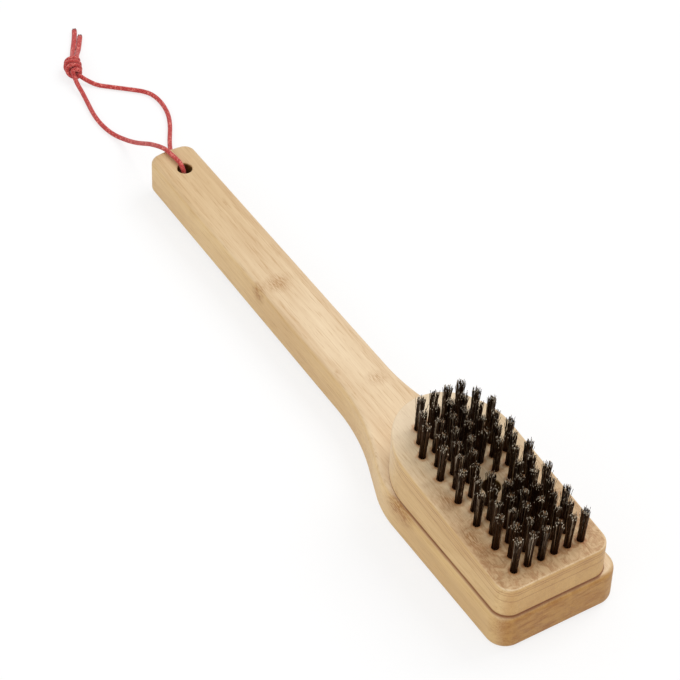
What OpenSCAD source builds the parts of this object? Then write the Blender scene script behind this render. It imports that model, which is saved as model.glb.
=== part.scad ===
/* [Paddle] */
// Overall length of the brush
brush_len = 457; // [400:1:520]
// Thickness of the paddle
paddle_t = 27; // [20:0.5:34]
// Width of the handle at its butt end
handle_w = 32; // [26:0.5:36]
// Taper of each side of the handle, in degrees
handle_taper = 0.42; // [0:0.02:1]
// Width of the head
head_w = 81; // [74:0.5:100]
// Distance from the butt end to the start of the neck
neck_start = 244; // [200:1:260]
// Radius of the hollow curve of the neck
neck_r = 150; // [110:1:200]
// Steepest angle of the neck's sides, in degrees
neck_angle = 21; // [17:0.5:26]
// Radius of the shoulder where the neck meets the head
shoulder_r = 70; // [50:1:90]
// Radius of the butt end, seen from above
butt_r = 60; // [45:1:90]
// Radius of the two corners of the butt end
butt_corner_r = 8; // [6:0.5:10]
// Radius of the two front corners of the head
head_corner_r = 13; // [8:0.5:18]
// How much further the head reaches on its right side, beyond an even width
head_extra = 5.5; // [0:0.5:7]
// Rounding of the paddle's edges
edge_r = 4; // [2:0.25:5]
// Depth of the flat on the underside at the front end, where the brush stands
foot_depth = 0.25; // [0.2:0.05:0.35]

/* [Hang hole] */
// Diameter of the hang hole
hang_hole_d = 10; // [9:0.5:12]
// Distance from the butt end to the hang hole
hang_hole_x = 23; // [20:0.5:30]
// Rounding of the hang hole's rims
hang_rim_r = 1; // [0.5:0.1:1.5]

/* [Bristle block] */
// Thickness of the block at its front end
block_t = 22.6; // [20:0.2:30]
// Rise of the block's face towards the handle, in degrees
block_slope = 3.8; // [0:0.1:6]
// Ledge of the paddle left bare round the block
block_ledge = 2; // [1:0.25:4]
// Distance from the block's nose to its front end
block_len = 151; // [146:1:160]
// How much smaller the radius of the block's nose is than half the block's width
nose_step = 4.5; // [2:0.5:8]
// Radius of the curves from the nose to the block's sides
cheek_r = 50; // [44:0.5:60]
// Radius of the block's two front corners
block_corner_r = 11; // [7:0.5:15]
// Rounding of the block's upper edge
block_edge_r = 2; // [1:0.25:3]

/* [Tufts] */
// Height of the tufts above the block
tuft_h = 27.8; // [20:0.2:36]
// Diameter of a tuft where it leaves the block
tuft_d = 4.7; // [3.6:0.1:5.2]
// Lean of a tuft's strands away from its middle, in degrees
tuft_flare = 0.7; // [0:0.1:1.5]
// Distance between rows
row_pitch = 9.7; // [9:0.1:10]
// Distance between tufts in a row
tuft_pitch = 9.4; // [8.6:0.1:10]
// Distance from the front end to the front row
front_row_gap = 13; // [11:0.5:16]
// Depth of the tuft holes
tuft_hole_depth = 12; // [8:0.5:14]
// Clearance round a tuft in its hole
tuft_fit = 0.05; // [0.05:0.01:0.15]
// Thickness of the flat anchor that holds a tuft
anchor_t = 0.5; // [0.3:0.05:0.8]
// Height of the anchor
anchor_h = 2; // [1.5:0.1:3]
// Bite of the anchor into each side of its hole
anchor_bite = 0.3; // [0.2:0.05:0.5]

/* [Block screw] */
// Diameter of the recess for the screw's head
recess_d = 12; // [10.5:0.25:13]
// Depth of the recess below the block's face
recess_depth = 15; // [10:0.5:18]
// Diameter of the screw's head
screw_head_d = 9; // [7:0.25:10]
// Height of the screw's head
screw_head_h = 3.2; // [2.4:0.1:4]
// Diameter of the screw's shank
screw_d = 4.5; // [3.5:0.25:5]
// Depth of the screw in the paddle
screw_grip = 18; // [12:0.5:19]
// Clearance round the screw's shank
screw_fit = 0.15; // [0.1:0.05:0.3]

/* [Cord] */
// Diameter of the cord
cord_d = 3.2; // [2.6:0.1:3.6]
// Gap above and below the cord where it passes under the handle
cord_gap = 0.15; // [0.1:0.05:0.3]

/* [Hidden] */
// Number of rows of tufts along the block
tuft_rows = 13;

// How far up the cord lifts the butt end, and the tilt that this gives the wood
butt_lift = cord_d + 2*cord_gap;
lift_x = hang_hole_x - hang_hole_d/2 - hang_rim_r;
tilt = asin((butt_lift + foot_depth)/(brush_len - edge_r - lift_x));
// Ends of the tilted paddle, and the shifts that centre it
front_end = brush_len + (paddle_t - 2*edge_r)*sin(tilt);
butt_end = (brush_len - 2*edge_r)*(1 - cos(tilt));
centre_shift = -(front_end + butt_end)/2;
side_shift = -head_extra/2;

// Paddle outline: each side runs butt, corner, neck, shoulder, front corner
butt_half = handle_w/2;
taper_slope = tan(handle_taper);
neck_half = butt_half + neck_start*taper_slope;
head_half = head_w/2;
// The butt corner touches the side of the handle and the round of the butt end
corner_y = butt_half - butt_corner_r/cos(handle_taper);
corner_b = 2*(corner_y*taper_slope - butt_r);
corner_c = butt_r^2 + corner_y^2 - (butt_r - butt_corner_r)^2;
corner_a = 1 + taper_slope^2;
corner_x = (-corner_b - sqrt(corner_b^2 - 4*corner_a*corner_c))/(2*corner_a);
butt_corner = [corner_x, corner_y + corner_x*taper_slope];
butt_corner_angle = atan2(butt_corner.y, butt_corner.x - butt_r);
side_angle = 90 + handle_taper;
slant_angle = 90 + neck_angle;
neck_c = [neck_start, neck_half] + neck_r*heading(side_angle);
neck_exit = neck_c - neck_r*heading(slant_angle);

// Block outline: each side runs nose, cheek, front corner
block_half = head_half - block_ledge;
nose_r = block_half - nose_step;
block_front = brush_len - block_ledge;
nose_c = [block_front - block_len + nose_r, 0];
cheek_drop = block_half - cheek_r;
cheek_reach = sqrt((cheek_r - nose_r)^2 - cheek_drop^2);
cheek_c = [nose_c.x + cheek_reach, cheek_drop];
nose_angle = atan2(-cheek_drop, -cheek_reach);
block_corner = [block_front - block_corner_r, block_half - block_corner_r];

// Widest row of tufts, the row in the middle of the pattern and the bare places round it
wide_row = 6;
mid_row = (tuft_rows - 1)/2;
bare_ring = 1;
// Shares of the distance between tufts within which a place counts as beside the middle, or on it
near_middle = 0.6;
on_middle = 0.1;
tuft_hole_d = tuft_d + 2*tuft_fit;
// Each tuft is a root and four bundles of wires that lean apart
strand_count = 4;
strand_inset = 0.1;
strand_r = 0.27*tuft_d;
strand_place = tuft_d/2 - strand_inset - strand_r;
strand_root = 1;
strand_turn = 37;
// Tip heights of the bundles, in turn, so that no tuft is level
tip_steps = [0, -0.9, 0.4, -0.4, -1.3, 0.2, -0.7];
anchor_lift = 1.5;
anchor_len = tuft_hole_d + 2*anchor_bite;

// The block screw stands in its recess at the middle of the tufts
screw_hole_d = screw_d + 2*screw_fit;
recess_x = row_x(mid_row);
block_t_there = (block_t - recess_x*sin(block_slope))/cos(block_slope);
screw_len = block_t_there - recess_depth + screw_grip;
screw_tip = 4;
screw_end_gap = 1;
screw_point_d = 1;
drive_depth = 1.8;
drive_w = 1;

// Sides of the cord's tubes
cord_sides = 8;
// Knot: its middle on the floor's plane, its heading, and its half length
knot_at = [-134, 1.5];
knot_turn = 155;
knot_half = 9.45;
knot_wrap_r = 4.1;
knot_core_r = 3.4;
knot_z = knot_wrap_r + cord_d/2 + cord_gap;
wrap_lean = 20;
wrap_gap = 3.4;
wrap_side = -1.2;
knot_dir = [cos(knot_turn), sin(knot_turn), 0];
// Routes of the cord from the butt end, each with round numbers in millimetres
upper_route = [
    [23.5, -1, 17], [23.5, -1, 21.5], [23.5, -1, 25.4], [23, -1, 28], [21.5, -1.1, 30.3],
    [19.2, -1.2, 31.8], [16.6, -1.3, 32.3], [10.5, -1.8, 32.3], [5.4, -2.3, 32.2],
    [1.2, -2.6, 31.6], [-3.4, -3, 30], [-8.5, -3.3, 27.6], [-17.7, -3.6, 22.4],
    [-26, -4.1, 17], [-33.7, -4.5, 12], [-42, -5.1, 7.4], [-49, -6, 4.4],
    [-56, -7.5, 2.4], [-62.7, -9.2, 1.7], [-69.5, -10.3, 1.6], [-76.4, -10.7, 1.6],
    [-83.1, -10.4, 1.6], [-90, -9.5, 1.6], [-100, -7.7, 1.8], [-109.5, -6.2, 2.6],
    [-117.8, -5.6, 4.4], [-126.1, -4, 5.7]];
lower_route = [
    [23.5, -1, 17], [23.5, -1, 12.5], [23.5, -1, 8.5], [23, -0.8, 5.9], [21.6, -0.3, 3.6],
    [19.5, 0.4, 2.1], [17, 1.3, 1.6], [10, 3.9, 1.6], [2, 6.8, 1.6], [-6, 9.6, 1.6],
    [-14, 12.4, 1.6], [-21.5, 15.1, 1.6], [-28.8, 18, 1.6], [-35.3, 21.4, 1.6],
    [-41.5, 25.1, 1.6], [-47.5, 28.6, 1.6], [-53.2, 31.5, 1.6], [-58.6, 33.7, 1.6],
    [-64.1, 35.2, 1.6], [-70.2, 36.2, 1.6], [-76.1, 36.4, 1.6], [-81.5, 35.8, 1.6],
    [-86.2, 34.3, 1.6], [-90, 31.8, 1.6], [-93.4, 28.6, 1.6], [-99.2, 22.2, 1.6],
    [-106.1, 14.4, 1.6], [-112.6, 7.6, 1.6], [-118.8, 2.8, 3.2], [-124.7, -1, 5.7]];
long_tail = [
    [-143.3, 4, 5.7], [-149, 7.2, 3.6], [-155.5, 11.2, 1.8], [-163, 16, 1.6],
    [-169, 19.6, 1.6], [-175, 22.8, 1.6]];
short_tail = [
    [-141.9, 7, 5.7], [-147, 9.9, 3.6], [-152.5, 13.6, 1.8], [-158, 17.3, 1.6],
    [-163, 20.5, 1.6], [-167, 23, 1.6]];

// Steps of each rounded edge, and how far cutting shapes run past what they cut
round_steps = 4;
past = 0.5;

function row_name(i) = str("tuft_row_", i < 10 ? "0" : "", i);

// Unit vector at an angle in the plane
function heading(a) = [cos(a), sin(a)];

function unit(v) = v/norm(v);

// Points of an arc, each with the outward direction of the outline there; first is 1 where the
// arc starts on the end of another
function arc(c, r, from, to, steps, first = 0) =
    [for (i = [first : steps]) let (n = heading(from + (to - from)*i/steps)) concat(c + r*n, n)];

// Points of a hollow arc, whose centre lies outside the outline
function hollow(c, r, from, to, steps) =
    [for (i = [0 : steps]) let (n = heading(from + (to - from)*i/steps)) concat(c - r*n, n)];

// The other half of an outline that is the same on both sides
function mirrored(half) =
    [for (i = [len(half) - 1 : -1 : 0]) let (q = half[i]) [q[0], -q[1], q[2], -q[3]]];

function both_sides(half) = concat(half, mirrored(half));

// The shoulder's centre, where a side of the head lies at y
function shoulder_at(y) =
    let (slant = (y - shoulder_r*(1 - cos(neck_angle)) - neck_exit.y)/sin(neck_angle))
    [neck_exit.x + slant*cos(neck_angle) + shoulder_r*sin(neck_angle), y - shoulder_r];

// One side of the paddle, from the butt end to the front end, where a side of the head lies at y
function paddle_side(y) = concat(
    arc([butt_r, 0], butt_r, 180, butt_corner_angle, 3, 1),
    arc(butt_corner, butt_corner_r, butt_corner_angle, side_angle, 7, 1),
    hollow(neck_c, neck_r, side_angle, slant_angle, 6),
    arc(shoulder_at(y), shoulder_r, slant_angle, 90, 6),
    arc([brush_len - head_corner_r, y - head_corner_r], head_corner_r, 90, 0, 7));

// Outlines run clockwise from the butt end or nose, seen from above
paddle_line = concat(paddle_side(head_half + head_extra), mirrored(paddle_side(head_half)));
block_half_line = concat(
    arc(nose_c, nose_r, 180, nose_angle, 6, 1),
    arc(cheek_c, cheek_r, nose_angle, 90, 6, 1),
    arc(block_corner, block_corner_r, 90, 0, 7));

// One level of a slab: the outline moved in by inset, at the height of a sloped plane less drop
function level(line, inset, base, slope, x0, drop) =
    [for (q = line) let (x = q[0] - q[2]*inset) [x, q[1] - q[3]*inset, base - (x - x0)*slope - drop]];

// Slab over an outline, with rounded lower and upper edges and an upper side that may slope. Its
// first and last levels lie a little past its faces, where flat_cut() makes it flat
module slab(line, bottom, top, low_r, high_r, slope = 0, x0 = 0) {
    turn = 90/round_steps;
    run_on = past*sin(turn);
    rise_on = past*(1 - cos(turn));
    low = low_r > 0
        ? concat([level(line, low_r*(1 + run_on), bottom, 0, 0, low_r*rise_on)],
            [for (i = [1 : round_steps])
                level(line, low_r*(1 - sin(i*turn)), bottom, 0, 0, -low_r*(1 - cos(i*turn)))])
        : [level(line, 0, bottom, 0, 0, past)];
    high = concat([for (i = [0 : round_steps - 1])
            level(line, high_r*(1 - cos(i*turn)), top, slope, x0, high_r*(1 - sin(i*turn)))],
        [level(line, high_r*(1 + run_on), top, slope, x0, -high_r*rise_on)]);
    levels = concat(low, high);
    n = len(line);
    m = len(levels);
    polyhedron(
        points = [for (ring = levels) each ring],
        faces = concat(
            [[for (i = [0 : n - 1]) n - 1 - i]],
            [for (k = [0 : m - 2]) for (i = [0 : n - 1]) let (j = (i + 1) % n) each
                [[k*n + i, k*n + j, (k + 1)*n + j], [k*n + i, (k + 1)*n + j, (k + 1)*n + i]]],
            [[for (i = [0 : n - 1]) (m - 1)*n + i]]),
        convexity = 6);
}

// Box as long and wide as the brush and more, for cutting a slab flat between two heights
module flat_cut(bottom, top) {
    translate([-head_w, -head_w, bottom])
        cube([brush_len + 2*head_w, 2*head_w, top - bottom]);
}

// Places of the tufts on the block's face: the front end of the face is at 0
function row_x(row) = -front_row_gap - (tuft_rows - 1 - row)*row_pitch;
function row_count(row) = row == 0 ? wide_row - 2 : row % 2 == 1 ? wide_row - 1 : wide_row;
function tuft_y(row, i) = (i - (row_count(row) - 1)/2)*tuft_pitch;
function is_bare(row, i) = abs(row - mid_row) <= bare_ring
    && abs(tuft_y(row, i)) < tuft_pitch*(row == mid_row ? near_middle : on_middle);
function tufts_in(row) = [for (i = [0 : row_count(row) - 1]) if (!is_bare(row, i)) tuft_y(row, i)];

// Moves what is drawn from the butt end into its place, resting on its foot and on the cord
module on_rest() {
    translate([centre_shift + brush_len - edge_r, side_shift, edge_r - foot_depth])
        rotate([0, tilt, 0])
            translate([edge_r - brush_len, 0, -edge_r])
                children();
}

// Moves what is drawn on a level face to the sloped face of the block
module on_face() {
    translate([block_front, 0, paddle_t + block_t])
        rotate([0, block_slope, 0])
            children();
}

module at_tufts(row) {
    for (y = tufts_in(row))
        translate([row_x(row), y, 0])
            children();
}

// Hang hole with both rims rounded
module hang_hole() {
    flare_r = hang_hole_d/2 + hang_rim_r;
    translate([hang_hole_x, 0, 0]) {
        translate([0, 0, -past])
            cylinder(d = hang_hole_d, h = paddle_t + 2*past, $fn = 48);
        for (z = [0, paddle_t])
            translate([0, 0, z])
                mirror([0, 0, z > 0 ? 1 : 0])
                    rotate_extrude($fn = 48)
                        difference() {
                            translate([0, -past])
                                square([flare_r, hang_rim_r + past]);
                            translate([flare_r, hang_rim_r])
                                circle(r = hang_rim_r, $fn = 24);
                        }
    }
}

// Hole for the shank of the block screw, from the floor of its recess down
module screw_hole() {
    on_face()
        translate([recess_x, 0, -recess_depth - screw_len])
            cylinder(d = screw_hole_d, h = screw_len + screw_head_h, $fn = 32);
}

module paddle() {
    color("burlywood")
        difference() {
            on_rest()
                difference() {
                    intersection() {
                        slab(paddle_line, 0, paddle_t, edge_r, edge_r);
                        flat_cut(0, paddle_t);
                    }
                    hang_hole();
                    screw_hole();
                }
            translate([centre_shift, 0, 0])
                flat_cut(-edge_r, 0);
        }
}

module anchor() {
    translate([-anchor_t/2, -anchor_len/2, anchor_lift - tuft_hole_depth])
        cube([anchor_t, anchor_len, anchor_h]);
}

module bristle_block() {
    color("wheat")
        on_rest()
            difference() {
                intersection() {
                    slab(both_sides(block_half_line), paddle_t, paddle_t + block_t, 0, block_edge_r,
                        tan(block_slope), block_front);
                    flat_cut(paddle_t, paddle_t + 2*head_w);
                    on_face()
                        translate([-brush_len, 0, 0])
                            flat_cut(-head_w, 0);
                }
                on_face() {
                    for (row = [0 : tuft_rows - 1])
                        at_tufts(row) {
                            translate([0, 0, -tuft_hole_depth])
                                cylinder(d = tuft_hole_d, h = tuft_hole_depth + past, $fn = 16);
                            anchor();
                        }
                    translate([recess_x, 0, -recess_depth])
                        cylinder(d = recess_d, h = recess_depth + past, $fn = 48);
                }
                screw_hole();
            }
}

// One tuft: a round root in its hole, and bundles of wires that stand on it and lean apart
module tuft(turn, step) {
    tips = len(tip_steps);
    difference() {
        union() {
            translate([0, 0, -tuft_hole_depth])
                cylinder(d = tuft_d, h = tuft_hole_depth, $fn = 16);
            for (k = [0 : strand_count - 1])
                rotate([0, 0, turn + 360*k/strand_count])
                    translate([strand_place, 0, -strand_root])
                        rotate([0, tuft_flare, 0])
                            cylinder(r = strand_r, h = strand_root + tuft_h + tip_steps[(step + k) % tips],
                                $fn = 6);
        }
        translate([-anchor_t/2 - tuft_fit, -tuft_d, anchor_lift - tuft_hole_depth])
            cube([anchor_t + 2*tuft_fit, 2*tuft_d, anchor_h + tuft_fit]);
    }
}

module tuft_row(row) {
    places = tufts_in(row);
    color("dimgray")
        on_rest()
            on_face()
                for (i = [0 : len(places) - 1])
                    translate([row_x(row), places[i], 0])
                        tuft(strand_turn*(row + 2*i), row + 3*i);
}

module tuft_anchors() {
    color("silver")
        on_rest()
            on_face()
                for (row = [0 : tuft_rows - 1])
                    at_tufts(row)
                        anchor();
}

module block_screw() {
    dome_r = screw_head_d;
    color("gray")
        on_rest()
            on_face()
                translate([recess_x, 0, -recess_depth]) {
                    difference() {
                        intersection() {
                            cylinder(d = screw_head_d, h = screw_head_h, $fn = 32);
                            translate([0, 0, screw_head_h - dome_r])
                                sphere(r = dome_r, $fn = 64);
                        }
                        for (a = [0, 90])
                            rotate([0, 0, a])
                                translate([-screw_head_d/4, -drive_w/2, screw_head_h - drive_depth])
                                    cube([screw_head_d/2, drive_w, drive_depth]);
                    }
                    translate([0, 0, screw_tip - screw_len + screw_end_gap])
                        cylinder(d = screw_d, h = screw_len - screw_tip - screw_end_gap, $fn = 24);
                    translate([0, 0, screw_end_gap - screw_len])
                        cylinder(d1 = screw_point_d, d2 = screw_d, h = screw_tip, $fn = 24);
                }
}

// One octagonal ring of a tube, square to its direction
function tube_ring(p, dir) =
    let (side = unit(cross([0, 1, 0], dir)), other = cross(dir, side))
    [for (i = [0 : cord_sides - 1]) let (a = 360*(i + 0.5)/cord_sides)
        p + cord_d/2*(cos(a)*side + sin(a)*other)];

// Tube along a route, whose ends face along first and last where these are given
module tube(route, first, last) {
    m = len(route);
    n = cord_sides;
    steps = [for (i = [0 : m - 2]) unit(route[i + 1] - route[i])];
    dirs = [for (i = [0 : m - 1]) i == 0 ? first : i == m - 1 ? last : unit(steps[i - 1] + steps[i])];
    polyhedron(
        points = [for (i = [0 : m - 1]) each tube_ring(route[i], dirs[i])],
        faces = concat(
            [[for (i = [0 : n - 1]) i]],
            [for (k = [0 : m - 2]) for (i = [0 : n - 1]) let (j = (i + 1) % n) each
                [[k*n + i, (k + 1)*n + i, (k + 1)*n + j], [k*n + i, (k + 1)*n + j, k*n + j]]],
            [[for (i = [n - 1 : -1 : 0]) (m - 1)*n + i]]),
        convexity = 6);
}

// The cord's routes are measured from the butt end, and lie a gap above the floor
module from_butt() {
    color([0.82, 0.25, 0.24])
        translate([centre_shift, side_shift, cord_gap])
            children();
}

module cord_upper_run() {
    from_butt()
        tube(upper_route, [0, 0, 1], knot_dir);
}

module cord_lower_run() {
    from_butt()
        tube(lower_route, [0, 0, -1], knot_dir);
}

module cord_tail_long() {
    from_butt()
        tube(long_tail, knot_dir, unit(long_tail[5] - long_tail[4]));
}

module cord_tail_short() {
    from_butt()
        tube(short_tail, knot_dir, unit(short_tail[5] - short_tail[4]));
}

// The knot that joins both ends of the cord: the strands side by side, and the turns round them
module cord_knot() {
    from_butt()
        translate([knot_at.x, knot_at.y, knot_z])
            rotate([0, 0, knot_turn]) {
                rotate([0, 90, 0])
                    cylinder(r = knot_core_r, h = 2*knot_half, center = true, $fn = 32);
                for (end = [-1, 1])
                    translate([end*wrap_gap/2, wrap_side, 0])
                        rotate([0, 0, wrap_lean])
                            rotate([0, 90, 0])
                                rotate_extrude($fn = 32)
                                    translate([knot_wrap_r, 0])
                                        circle(d = cord_d, $fn = 16);
            }
}

paddle();
bristle_block();
for (row = [0 : tuft_rows - 1])
    tuft_row(row);
tuft_anchors();
block_screw();
cord_upper_run();
cord_lower_run();
cord_knot();
cord_tail_long();
cord_tail_short();
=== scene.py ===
import math
import random

import bpy
from mathutils import Matrix, Vector


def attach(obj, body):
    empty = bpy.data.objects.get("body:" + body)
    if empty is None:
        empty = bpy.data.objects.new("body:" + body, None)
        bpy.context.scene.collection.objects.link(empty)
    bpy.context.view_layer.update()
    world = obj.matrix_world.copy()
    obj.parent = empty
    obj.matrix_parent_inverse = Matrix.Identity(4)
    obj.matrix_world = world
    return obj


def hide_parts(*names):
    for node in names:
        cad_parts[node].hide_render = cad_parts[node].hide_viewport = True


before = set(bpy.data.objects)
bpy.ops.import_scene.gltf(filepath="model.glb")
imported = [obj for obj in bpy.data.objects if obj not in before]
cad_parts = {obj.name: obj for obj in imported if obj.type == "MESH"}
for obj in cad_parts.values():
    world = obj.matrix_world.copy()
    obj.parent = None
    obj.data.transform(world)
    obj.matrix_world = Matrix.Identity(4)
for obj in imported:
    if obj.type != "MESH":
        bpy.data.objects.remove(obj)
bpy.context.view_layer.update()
mm = 0.001
random.seed(11)


def mixColour(red, green, blue):
    # screen values from 0 to 255, made linear
    def toLinear(c):
        c = c / 255
        return c / 12.92 if c <= 0.04045 else ((c + 0.055) / 1.055) ** 2.4
    return (toLinear(red), toLinear(green), toLinear(blue), 1)


# how the wood lies: a small flat at its front end on the floor, its butt end on the cord
wood = {
    "length": 457 * mm,
    "thick": 27 * mm,
    "edge": 4 * mm,
    "foot": 0.25 * mm,
    "lift": 3.5 * mm,
    "liftAt": 17 * mm,
    "aside": -2.75 * mm,
}
tilt = math.asin((wood["lift"] + wood["foot"]) / (wood["length"] - wood["edge"] - wood["liftAt"]))
frontEnd = wood["length"] + (wood["thick"] - 2 * wood["edge"]) * math.sin(tilt)
buttEnd = (wood["length"] - 2 * wood["edge"]) * (1 - math.cos(tilt))
centreShift = -(frontEnd + buttEnd) / 2
pivot = Vector((wood["length"] - wood["edge"], 0, wood["edge"]))
toRest = (Matrix.Translation(pivot + Vector((centreShift, wood["aside"], -wood["foot"])))
          @ Matrix.Rotation(tilt, 4, "Y") @ Matrix.Translation(-pivot))


def setCamera():
    # angles and distance are measured in the wood's own frame, before it is tilted
    view = {"aim": (190.17, 18.21, 0), "azimuth": -33.80, "elevation": 44.80, "roll": 2.48,
            "distance": 1924.18, "lens": 158.82, "sensor": 36, "reach": 20}
    data = bpy.data.cameras.new("camera")
    data.lens = view["lens"]
    data.sensor_width = view["sensor"]
    data.clip_end = view["reach"]
    cam = bpy.data.objects.new("camera", data)
    bpy.context.scene.collection.objects.link(cam)
    azimuth = math.radians(view["azimuth"])
    elevation = math.radians(view["elevation"])
    back = Vector((math.cos(elevation) * math.cos(azimuth),
                   math.cos(elevation) * math.sin(azimuth), math.sin(elevation)))
    right = (-back).cross(Vector((0, 0, 1))).normalized()
    up = back.cross(right)
    turned = Matrix((right, up, back)).transposed().to_4x4()
    place = Matrix.Translation(Vector(view["aim"]) * mm + back * view["distance"] * mm)
    cam.matrix_world = toRest @ place @ turned @ Matrix.Rotation(math.radians(view["roll"]), 4, "Z")
    bpy.context.scene.camera = cam


def deselectAll():
    if bpy.context.object and bpy.context.object.mode != "OBJECT":
        bpy.ops.object.mode_set(mode="OBJECT")
    bpy.ops.object.select_all(action="DESELECT")


def pickOnly(piece):
    deselectAll()
    piece.select_set(True)
    bpy.context.view_layer.objects.active = piece


def editAll(piece):
    pickOnly(piece)
    bpy.ops.object.mode_set(mode="EDIT")
    bpy.ops.mesh.select_all(action="SELECT")


def leaveEdit():
    bpy.ops.object.mode_set(mode="OBJECT")


def joinPieces(pieces):
    pickOnly(pieces[0])
    for piece in pieces:
        piece.select_set(True)
    bpy.ops.object.join()
    return pieces[0]


def smoothByAngle(piece, degrees):
    pickOnly(piece)
    bpy.ops.object.shade_smooth_by_angle(angle=math.radians(degrees))


def finishPiece(piece, name, material, nodes):
    piece.name = name
    piece.data.name = name
    piece.data.materials.clear()
    piece.data.materials.append(material)
    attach(piece, "root")
    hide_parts(*nodes)
    return piece


def meshPiece(name, points, faces=(), edges=()):
    data = bpy.data.meshes.new(name)
    data.from_pydata(points, edges, faces)
    piece = bpy.data.objects.new(name, data)
    bpy.context.scene.collection.objects.link(piece)
    return piece


def markPoints(piece, label, values):
    # an attribute of one number a point, which a material reads
    marks = piece.data.attributes.new(label, "FLOAT", "POINT")
    marks.data.foreach_set("value", values)


setCamera()
print("camera set")

paddle = {
    "buttWidth": 32 * mm,
    "taper": 0.42,
    "headWidth": 81 * mm,
    "headExtra": 5.5 * mm,
    "neckStart": 244 * mm,
    "neckRadius": 150 * mm,
    "neckAngle": 21,
    "shoulderRadius": 70 * mm,
    "buttRadius": 60 * mm,
    "buttCorner": 8 * mm,
    "headCorner": 13 * mm,
    "holeDiameter": 10 * mm,
    "holeAt": 23 * mm,
    "holeRim": 1 * mm,
    "smooth": 32,
}
block = {
    "thick": 22.6 * mm,
    "slope": 3.8,
    "ledge": 2 * mm,
    "length": 151 * mm,
    "noseStep": 4.5 * mm,
    "cheekRadius": 50 * mm,
    "corner": 11 * mm,
    "edge": 2 * mm,
    "recess": 12 * mm,
    "recessDepth": 15 * mm,
    "smooth": 32,
}
tufts = {
    "height": 27.8 * mm,
    "diameter": 4.7 * mm,
    "rows": 13,
    "wideRow": 6,
    "rowPitch": 9.7 * mm,
    "pitch": 9.4 * mm,
    "frontGap": 13 * mm,
    "holeDepth": 12 * mm,
    "fit": 0.05 * mm,
    # bare places nearer to the middle line than this, in pitches, for each step from the middle row
    "bare": {0: 0.6, 1: 0.1},
}
middleRow = (tufts["rows"] - 1) // 2
blockFront = wood["length"] - block["ledge"]
blockHalf = paddle["headWidth"] / 2 - block["ledge"]
blockSlope = math.radians(block["slope"])
# from a level face whose front end is the origin, to the block's sloped face
faceStart = Vector((blockFront, 0, wood["thick"] + block["thick"]))
onFace = Matrix.Translation(faceStart) @ Matrix.Rotation(blockSlope, 4, "Y")


def rowX(row):
    return -tufts["frontGap"] - (tufts["rows"] - 1 - row) * tufts["rowPitch"]


def rowPlaces(row):
    # wide and narrow rows in turn, a narrower one at the back, and bare places round the recess
    count = tufts["wideRow"] - 2 if row == 0 else tufts["wideRow"] - row % 2
    reach = tufts["bare"].get(abs(row - middleRow), 0) * tufts["pitch"]
    places = [(k - (count - 1) / 2) * tufts["pitch"] for k in range(count)]
    return [y for y in places if abs(y) >= reach]


# Materials: short helpers that add nodes to a tree


def newMaterial(name):
    material = bpy.data.materials.new(name)
    material.use_nodes = True
    return material, material.node_tree, material.node_tree.nodes["Principled BSDF"]


def feed(tree, node, inputs):
    # an input is linked to another node's output, or takes the value itself
    for key, value in inputs.items():
        if isinstance(value, bpy.types.NodeSocket):
            tree.links.new(value, node.inputs[key])
        else:
            node.inputs[key].default_value = value


def addNode(tree, kind, inputs=None, **settings):
    node = tree.nodes.new("ShaderNode" + kind)
    for key, value in settings.items():
        setattr(node, key, value)
    feed(tree, node, inputs or {})
    return node


def calc(tree, operation, *values, clamp=False):
    node = addNode(tree, "Math", dict(enumerate(values)), operation=operation, use_clamp=clamp)
    return node.outputs[0]


def times(tree, product, *factors):
    for factor in factors:
        product = calc(tree, "MULTIPLY", product, factor)
    return product


def mixed(tree, amount, a, b, blend="MIX"):
    node = addNode(tree, "Mix", {0: amount, 6: a, 7: b}, data_type="RGBA", blend_type=blend)
    return node.outputs[2]


def tinted(tree, amount, colour, tint):
    # the colour multiplied by a tint, as far as the amount says
    return mixed(tree, amount, colour, mixed(tree, 1.0, colour, tint, "MULTIPLY"))


def band(tree, value, ends):
    # 0 at the first end and 1 at the second, smooth between
    node = addNode(tree, "MapRange", {"Value": value, "From Min": ends[0], "From Max": ends[1]},
                   interpolation_type="SMOOTHSTEP")
    return node.outputs[0]


def rampOf(tree, value, stops):
    node = addNode(tree, "ValToRGB", {0: value})
    elements = node.color_ramp.elements
    while len(elements) < len(stops):
        elements.new(0.5)
    for element, (at, level) in zip(elements, stops):
        element.position = at
        element.color = level if isinstance(level, tuple) else (level, level, level, 1)
    return node.outputs[0]


def separated(tree, value):
    return addNode(tree, "SeparateXYZ", {0: value}).outputs


def stretched(tree, place, scale, shift=0.0):
    # the shift keeps two patterns of one kind apart
    node = addNode(tree, "Mapping", {"Vector": place, "Scale": scale,
                                     "Location": (shift, shift * 0.7, shift * 1.3)})
    return node.outputs[0]


def turnedBy(tree, place, matrix):
    node = addNode(tree, "Mapping", {"Vector": place, "Location": matrix.to_translation(),
                                     "Rotation": matrix.to_euler("XYZ")})
    return node.outputs[0]


def noiseOf(tree, place, scale, detail=2.0, roughness=0.5, distortion=0.0):
    node = addNode(tree, "TexNoise", {"Vector": place, "Scale": scale, "Detail": detail,
                                      "Roughness": roughness, "Distortion": distortion})
    return node.outputs["Fac"]


def addBump(tree, shader, height, strength, distance):
    bump = addNode(tree, "Bump", {"Height": height, "Strength": strength, "Distance": distance})
    feed(tree, shader, {"Normal": bump.outputs[0]})


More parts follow.
